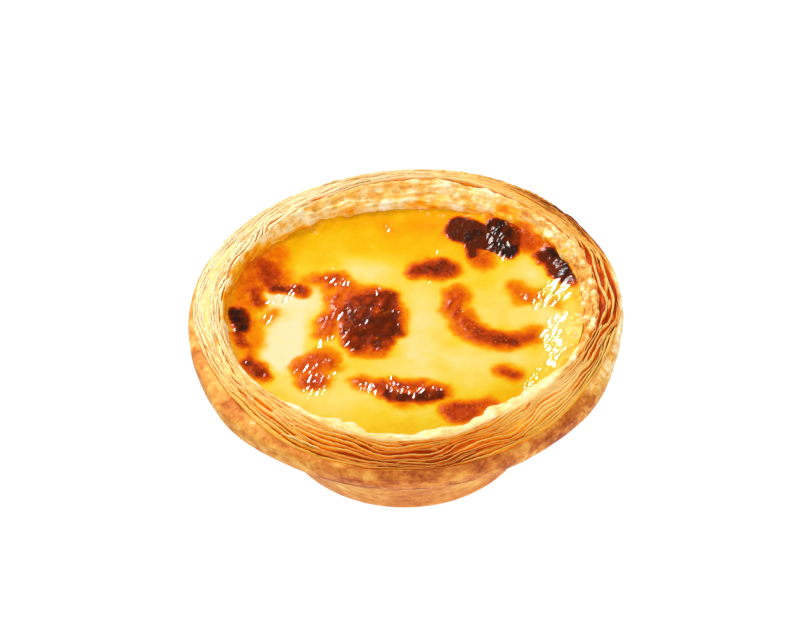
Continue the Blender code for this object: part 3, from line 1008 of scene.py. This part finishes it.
# %% Wet places
WET = (  # from x, y to x, y, half-width, how many wet streaks lie there, and their half-length
    (22.8, 4.4, 26.4, 8.2, 1.3, 20, 2.3),
    (24.4, 4.0, 27.4, 5.8, 0.7, 10, 1.3),
    (26.6, 0.0, 24.9, -2.8, 0.9, 16, 1.7),
    (25.0, -2.8, 25.6, -7.4, 1.1, 22, 1.9),
    (26.0, -8.0, 24.8, -11.0, 0.8, 14, 1.5),
    (23.2, -12.8, 20.6, -17.0, 0.7, 18, 0.7),
    (27.6, 2.6, 27.4, 0.2, 0.5, 4, 0.5),
    (-23.6, 4.0, -20.0, 6.6, 0.9, 14, 1.0),
    (-24.8, -1.0, -22.2, 2.4, 1.0, 9, 0.8),
    (-14.6, -6.4, -12.6, -3.8, 0.6, 6, 1.0),
    (-17.8, -12.0, -13.2, -10.6, 1.3, 13, 0.9),
    (-17.4, -14.6, -12.8, -13.4, 1.0, 12, 0.9),
    (-17.6, -16.4, -13.0, -17.2, 0.6, 10, 0.9),
    (-16.6, -18.8, -15.8, -18.4, 0.3, 2, 0.7),
    (-7.4, -15.6, -4.6, -16.8, 0.9, 12, 0.9),
    (-3.0, -16.2, 2.0, -17.4, 1.1, 22, 1.0),
    (3.0, -15.8, 6.2, -17.2, 0.6, 6, 0.5),
    (-2.4, -14.6, -1.6, -12.4, 0.3, 2, 0.6),
    (14.9, 21.4, 16.1, 18.8, 0.9, 14, 1.5),
    (15.8, 18.6, 18.0, 16.4, 1.1, 20, 1.8),
    (15.4, 24.0, 18.0, 22.6, 0.8, 4, 0.4),
    (13.6, 25.6, 14.6, 24.8, 0.5, 2, 0.5),
    (22.8, 15.4, 25.4, 14.8, 0.9, 7, 0.28),
    (25.0, 14.2, 28.4, 9.0, 1.4, 16, 0.24),
    (-14.6, 11.0, -10.4, 9.8, 0.9, 9, 0.8),
    (-20.4, 8.8, -17.6, 8.8, 0.5, 4, 0.6),
    (-13.4, 14.6, -12.8, 13.6, 0.4, 2, 0.5),
    (-5.0, 6.6, -4.2, 8.4, 0.4, 3, 0.9),
    (-11.4, -0.8, -10.6, 1.4, 0.7, 4, 0.7),
    (-10.2, -3.8, -7.2, -1.2, 1.0, 6, 0.7),
    (-9.8, -5.8, -8.2, -7.4, 0.6, 4, 0.6),
    (-2.2, 5.4, -1.0, -2.0, 0.6, 6, 0.5),
    (-8.0, 1.0, -4.0, 3.0, 1.6, 4, 0.5),
    (5.6, 3.6, 7.2, -0.6, 0.5, 6, 0.45),
    (9.2, 5.2, 10.0, 2.4, 0.4, 4, 0.4),
    (20.0, 6.6, 21.0, 5.4, 0.5, 3, 0.6),
    (-3.4, 24.8, -2.6, 23.4, 0.3, 3, 0.7),
    (5.2, 17.8, 6.0, 17.0, 0.3, 2, 0.6),
    (4.2, 9.8, 4.8, 9.4, 0.3, 1, 0.5),
    (-27.0, -11.6, -24.4, -14.8, 0.6, 6, 0.5),
    (-29.2, -3.4, -28.8, -4.4, 0.4, 2, 0.5),
)

# %% Facets of the wet places
def streaks_in(zones):
    """Short streaks by chance in each zone, up to its half-width from its middle line. Most of them run
    steeply, at 60 degrees. Each is its middle's x and y, its direction, half-length and half-width."""
    streaks = []
    for number, (x0, y0, x1, y1, wide, count, size) in enumerate(zones):
        luck = np.random.default_rng(50 + number)
        share, way = luck.uniform(0, 1, count), luck.uniform(0, 2 * np.pi, count)
        off = wide * np.sqrt(luck.uniform(0, 1, count))
        middle_x = x0 + share * (x1 - x0) + off * np.cos(way)
        middle_y = y0 + share * (y1 - y0) + off * np.sin(way)
        lean, long = np.radians(luck.normal(60, 18, count)), size * luck.uniform(0.6, 1.3, count)
        streaks += zip(middle_x, middle_y, lean, long, 0.16 + 0.26 * long)
    return streaks


streaks = streaks_in(WET)
print("the custard has", len(streaks), "wet streaks")


def facets_at(x, y, z, streaks, lean, shaken):
    """The surface z with a small flat facet set into it for each streak, and how wet each point is.

    Each point belongs to the streak it is nearest to, counted in that streak's own half-lengths and
    half-widths, so crowded facets meet in thin lines. A facet is a plane through its streak's middle that
    rises by lean along x, the more so the further right it lies, and along y by its own y. The shaken places
    count for the distances, so that the facets get ragged outlines."""
    nearest, planes = np.full_like(x, 9.0), z
    for middle_x, middle_y, way, long, wide in streaks:
        off_x, off_y = shaken[0] - middle_x, shaken[1] - middle_y
        along, aside = off_x * np.cos(way) + off_y * np.sin(way), off_y * np.cos(way) - off_x * np.sin(way)
        away = np.hypot(along / long, aside / wide)
        middle_z = z.flat[np.argmin(off_x**2 + off_y**2)]
        plane = middle_z + (lean + 0.0026 * middle_x) * (x - middle_x) + 0.0013 * middle_y * (y - middle_y)
        planes = np.where(away < nearest, plane, planes)
        nearest = np.minimum(away, nearest)
    wet = 1 - soft(nearest, 0.75, 1.15)
    return z + wet * (planes - z), wet


# %% [markdown]
# ## The custard
#
# The filling set as a thin skin over a soft middle. It sank a little in the middle, puffed where it boiled,
# clung to the wall and wrinkled where it browned. A square grid bent into a disc keeps all of its cells about
# the same size, so the relief is equally fine everywhere: x takes u times the root of 1 - v^2/2, and y takes
# v times the root of 1 - u^2/2. A skirt goes down from its edge just inside the pastry and closes below.

# %% The grid of the skin
SIDE = 301
u, v = np.meshgrid(np.linspace(-1, 1, SIDE), np.linspace(-1, 1, SIDE))
disc_x, disc_y = u * np.sqrt(1 - v**2 / 2), v * np.sqrt(1 - u**2 / 2)
part = np.hypot(disc_x, disc_y)
angle = np.arctan2(disc_y, disc_x)
edge_radius = CUSTARD_RADIUS + 0.5 - 0.27 * lip_inset(angle)
radius = part * edge_radius
x, y = radius * np.cos(angle), radius * np.sin(angle)
flat = np.stack([x, y, 0 * x], axis=-1)
drawn = np.stack([(0.94 * x - 0.34 * y) / 1.1, (0.34 * x + 0.94 * y) / 2.2, 0 * x], axis=-1)
print("the skin has", SIDE, "by", SIDE, "points, up to", round(edge_radius.max(), 1), "mm from its middle")

# %% How brown, golden and pale the skin is, with a painted sheen
shake_x = x + 1.0 * lumps(flat, 3.0, 400) + 0.22 * lumps(flat, 0.9, 401)
shake_y = y + 1.0 * lumps(flat, 3.0, 402) + 0.22 * lumps(flat, 0.9, 403)
calm = strokes_at(x, y, CALM, 2.0).clip(0, 1)
brown = strokes_at(shake_x, shake_y, STROKES, 1.6)
patchy = 0.14 * lumps(flat, 2.6, 408) + 0.24 * lumps(drawn, 1.0, 411, 3)
brown = brown * (1.0 + (1 - 0.9 * calm) * patchy)
halo = strokes_at(shake_x, shake_y, [(*stroke[:5], min(1, 0.5 + stroke[5])) for stroke in STROKES], 3.2)
# Painted sheen: the pale strokes, partly real pale skin, lighten the yellow where a broad reflection of the
# lamps lies.
pale = strokes_at(shake_x, shake_y, PALE_AND_SHEEN, 3.0)
behind = soft(y, 10, 22) * (1 - soft(x, 8, 16))
in_front = 0.28 * soft(-y, 19, 24) * soft(x, -9, -5) + 0.6 * np.exp(-((x - 19) ** 2 + (y + 18) ** 2) / 22)
gold = 0.40 + 0.5 * halo + 0.45 * behind + 0.5 * in_front - 0.45 * pale + 0.2 * lumps(flat, 7, 404)
gold = np.clip(gold, 0, 1)
print("browned over", round(100 * (brown > 0.4)[part < 1].mean()), "percent of the skin")

# %% How high the skin stands
left_climb, back_climb, right_climb = near(angle, 180, 40), near(angle, 95, 50), near(angle, 355, 34)
climb = 0.7 + 0.9 * left_climb - 0.1 * back_climb + 0.5 * right_climb
climb = climb + (0.35 + 0.5 * back_climb) * lumps(flat, 2.5, 409)
climb = climb * part ** (10 - 4 * left_climb - 3.5 * right_climb)
z = CUSTARD_LEVEL - 0.35 * (1 - part**2) + climb + 0.06 * lumps(flat, 6, 405)
PUFFS = (  # height, distance from the middle, direction in degrees, and spread
    (0.55, 6, 175, 5.5),
    (0.45, 23.5, 55, 6),
    (0.35, 17, 335, 5.5),
    (0.35, 19.5, 262, 5.5),
    (0.3, 17.5, 213, 4),
)
for rise, distance, degrees, spread in PUFFS:
    off_x = x - distance * np.cos(np.radians(degrees))
    off_y = y - distance * np.sin(np.radians(degrees))
    z = z + rise * np.exp(-(off_x**2 + off_y**2) / spread**2)

# %% Blisters, wrinkles and wet facets
blister = soft(brown, 0.35, 0.85)
wrinkles = 1 - 2 * np.abs(lumps(drawn, 1, 406, 3))
swells = lumps(flat, 2.6, 407, 1)
pucker = strokes_at(x, y, PUCKERS, 1.6)
rough = blister * (1 - 0.9 * calm)
z = z + 0.05 * blister + rough * (0.07 * wrinkles * (0.5 + soft(swells, -0.3, 0.5)) + 0.08 * swells)
z = z + pucker * 0.06 * (1 - 2 * np.abs(lumps(drawn, (1.2, 0.9, 1), 410, 3)))
ragged_x, ragged_y = x + 0.16 * lumps(flat, 0.8, 412, 2), y + 0.16 * lumps(flat, 0.8, 413, 2)
z, wet = facets_at(x, y, z, streaks, 0.22, (ragged_x, ragged_y))
crust = soft(part, 0.93, 0.99) * (1 - soft(brown, 0.2, 0.5))
skin = baked(radius, angle, z)
print("the skin goes from", round(z.min(), 2), "to", round(z.max(), 2), "mm high")

# %% Skirt and underside
corner_u = np.concatenate([u[0, :-1], u[:-1, -1], u[-1, :0:-1], u[:0:-1, 0], u[0, :1]])
corner_v = np.concatenate([v[0, :-1], v[:-1, -1], v[-1, :0:-1], v[:0:-1, 0], v[0, :1]])
loop_angle = np.arctan2(corner_v * np.sqrt(1 - corner_u**2 / 2), corner_u * np.sqrt(1 - corner_v**2 / 2))
row, column = (np.rint((value + 1) / 2 * (SIDE - 1)).astype(int) for value in (corner_v, corner_u))
loop_edge = edge_radius[row, column]
levels = ((0.97, CUSTARD_LEVEL - 3), (0.84, 12.5), (0.62, 2.6), (0, 2.6))
below = [(loop_edge * share, height + 0 * loop_edge) for share, height in levels]
skirt_r = np.array([loop_edge] + [r for r, _ in below])
skirt_z = np.array([z[row, column]] + [h for _, h in below])
skirt = baked(skirt_r, np.broadcast_to(loop_angle, skirt_r.shape), skirt_z)
print("the skirt hangs from", len(loop_angle), "points of the skin's edge")
parts = [(skin, {"brown": brown, "gold": gold, "crust": crust, "wet": wet})]
nothing = 0 * skirt_r
parts.append((skirt, {"brown": nothing, "gold": nothing + 0.5, "crust": nothing + 1, "wet": nothing}))

# %% [markdown]
# ## The finish of the custard
#
# The skin goes from cream to egg yellow, and where it browned on through orange and red-brown to nearly
# black. Two ramps hold these colours, read by the marks gold and brown. The gloss is a clear coat: none to
# speak of on the dull skin, a little on the browned places, and a full one on the wet facets, where fine
# fibres break it up.

# %% Colours of the custard
custard = Finish("baked_custard")
CUSTARD_MARKS = ("brown", "gold", "crust", "wet")
brown_mark, gold_mark, crust_mark, wet_mark = (custard.mark(name) for name in CUSTARD_MARKS)
spots, grain = custard.noise(0.9, 3), custard.noise(0.3, 2)
shake = custard.shaken(custard.remap(spots, 0.3, 0.7, -0.08, 0.08), grain, 0.05)
shake = custard.times(shake, custard.remap(brown_mark, 0.1, 0.4))
shake = custard.times(shake, custard.remap(brown_mark, 0.85, 1.05, 1.0, 0.4))
browned = custard.ramp(
    custard.times(custard.math("ADD", brown_mark, shake), 0.8),
    (
        (0.0, (223, 164, 2)),
        (0.16, (224, 140, 0)),
        (0.31, (218, 106, 0)),
        (0.47, (198, 72, 0)),
        (0.59, (170, 52, 0)),
        (0.70, (126, 36, 0)),
        (0.80, (96, 28, 0)),
        (0.94, (78, 26, 3)),
        (1.0, (44, 18, 8)),
    ),
)
yellow = custard.ramp(
    custard.shaken(gold_mark, custard.noise(4), 0.08),
    (
        (0.0, (229, 213, 162)),
        (0.25, (226, 200, 98)),
        (0.5, (225, 189, 40)),
        (0.75, (223, 170, 4)),
        (1.0, (221, 150, 0)),
    ),
)
colour = custard.mix(custard.remap(brown_mark, 0.02, 0.2), yellow, browned)
dried = custard.times(crust_mark, custard.remap(custard.noise(1.6), 0.42, 0.62))
colour = custard.mix(dried, colour, linear(233, 148, 28))

# %% Gloss of the custard
FIBRE_LENGTH, FIBRE_WIDTH = 1.7 * MM, 0.4 * MM
ways = (
    (0.5 / FIBRE_LENGTH, 0.87 / FIBRE_LENGTH, 0),
    (0.87 / FIBRE_WIDTH, -0.5 / FIBRE_WIDTH, 0),
)
along, sideways = (
    custard.add("VectorMath", {0: custard.place(), 1: way}, operation="DOT_PRODUCT").outputs["Value"]
    for way in ways
)
drawn_out = custard.add("CombineXYZ", {0: along, 1: sideways}).outputs[0]
fibres = custard.noise_at(drawn_out)
browned_shine = custard.remap(brown_mark, 0.4, 0.7, 0.0, 0.22)
shiny = custard.math("MAXIMUM", custard.remap(wet_mark, 0.05, 0.6), browned_shine)
full_shine = custard.remap(brown_mark, 0.85, 1.02, 0.54, 0.90)
gloss = custard.times(shiny, custard.remap(fibres, 0.34, full_shine))

# %% Bubbles and relief of the custard
bubbles = custard.add("TexVoronoi", {"Vector": custard.place(), "Scale": 1 / (0.75 * MM)}).outputs["Distance"]
bubbles = custard.remap(bubbles, 0.22, 0.32, 1.0, 0.0)
bubbly = custard.remap(custard.noise(3.4, 1), 0.50, 0.60)
bubbly = custard.times(bubbly, custard.remap(brown_mark, 0.35, 0.6))
bubbly = custard.times(bubbly, custard.remap(brown_mark, 0.9, 1.05, 1.0, 0.0))
bubbles = custard.times(bubbles, bubbly)
colour = custard.mix(custard.times(bubbles, 0.5), colour, linear(222, 120, 24))
blistered = custard.remap(brown_mark, 0.3, 0.7)
relief = custard.bump(custard.times(custard.noise(1.0, 1), blistered), 0.6, 0.3)
relief = custard.bump(custard.noise(2.5, 1), 0.12, 0.15, relief)
relief = custard.bump(bubbles, 0.6, 0.15, relief)
custard.set(
    Base_Color=colour,
    Roughness=custard.remap(spots, 0.3, 0.7, 0.2, 0.34),
    Normal=relief,
    Specular_IOR_Level=0.02,
    Coat_Weight=custard.remap(gloss, 0.0, 1.0, 0.07, 1.0),
    Coat_Roughness=0.05,
)
print("the finish of the custard has", len(custard.tree.nodes), "nodes")
filling = make_piece("custard_filling", *gather(parts), custard.material)
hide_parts("custard")

# %% [markdown]
# ## Floor, light and camera
#
# The table is plain and white. A white base would show a grey shadow, so the table has a mid-grey base and a
# glow of its own that keeps it white. Four soft lamps stand round the tart: a large one at the left, one
# overhead, a broad one in front, and a small bright one behind, which is the window that the wet streaks
# mirror. A long lens looks down at the tart by about 43 degrees.

# %% Floor
TABLE_HALF = 2
white = Finish("white_table")
white.set(Base_Color=linear(120, 120, 120), Roughness=0.9, Specular_IOR_Level=0.1)
white.set(Emission_Color=linear(255, 255, 255), Emission_Strength=0.95)
corners = [(x * TABLE_HALF, y * TABLE_HALF, 0) for x, y in ((-1, -1), (1, -1), (1, 1), (-1, 1))]
floor_mesh = bpy.data.meshes.new("table")
floor_mesh.from_pydata(corners, [], [(0, 1, 2, 3)])
floor_mesh.materials.append(white.material)
floor = bpy.data.objects.new("table", floor_mesh)
bpy.context.scene.collection.objects.link(floor)


# %% Lights
def aim(thing, place, target):
    """Puts a light or camera at a place, in metres, so that it looks at the target."""
    thing.location = place
    thing.rotation_euler = (Vector(target) - Vector(place)).to_track_quat("-Z", "Y").to_euler()


def softbox(name, place, size, power):
    """A round white lamp of a size across in metres and a power in watts, aimed at the tart."""
    lamp = bpy.data.lights.new(name, "AREA")
    lamp.shape, lamp.size, lamp.energy = "DISK", size, power
    holder = bpy.data.objects.new(name, lamp)
    bpy.context.scene.collection.objects.link(holder)
    aim(holder, place, (0, 0, 0.02))


# Name, place in metres, size across in metres, and power in watts.
softbox("key_softbox", (-0.45, 0.20, 0.50), 0.40, 1.85)
softbox("top_softbox", (0.0, 0.05, 0.80), 0.34, 1.5)
softbox("back_window", (-0.22, 0.56, 0.50), 0.20, 3.2)
softbox("front_fill", (0.25, -0.62, 0.36), 0.60, 2.4)
world = bpy.data.worlds.new("studio")
world.use_nodes = True
world.node_tree.nodes["Background"].inputs["Color"].default_value = (1, 1, 1, 1)
world.node_tree.nodes["Background"].inputs["Strength"].default_value = 0.32
bpy.context.scene.world = world
bpy.context.scene.view_settings.view_transform = "Standard"
print("the tart is lit by", len(bpy.data.lights), "lamps")

# %% Camera
LOOK_AT = np.array([-0.83, 2.49, 22.63]) * MM
LOOK_DOWN = np.radians(43.4)
DISTANCE = 0.45
lens = bpy.data.cameras.new("camera")
lens.lens, lens.sensor_width, lens.clip_end = 116.9, 36, 10
eye = bpy.data.objects.new("camera", lens)
bpy.context.scene.collection.objects.link(eye)
aim(eye, LOOK_AT + DISTANCE * np.array([0, -np.cos(LOOK_DOWN), np.sin(LOOK_DOWN)]), LOOK_AT)
bpy.context.scene.camera = eye
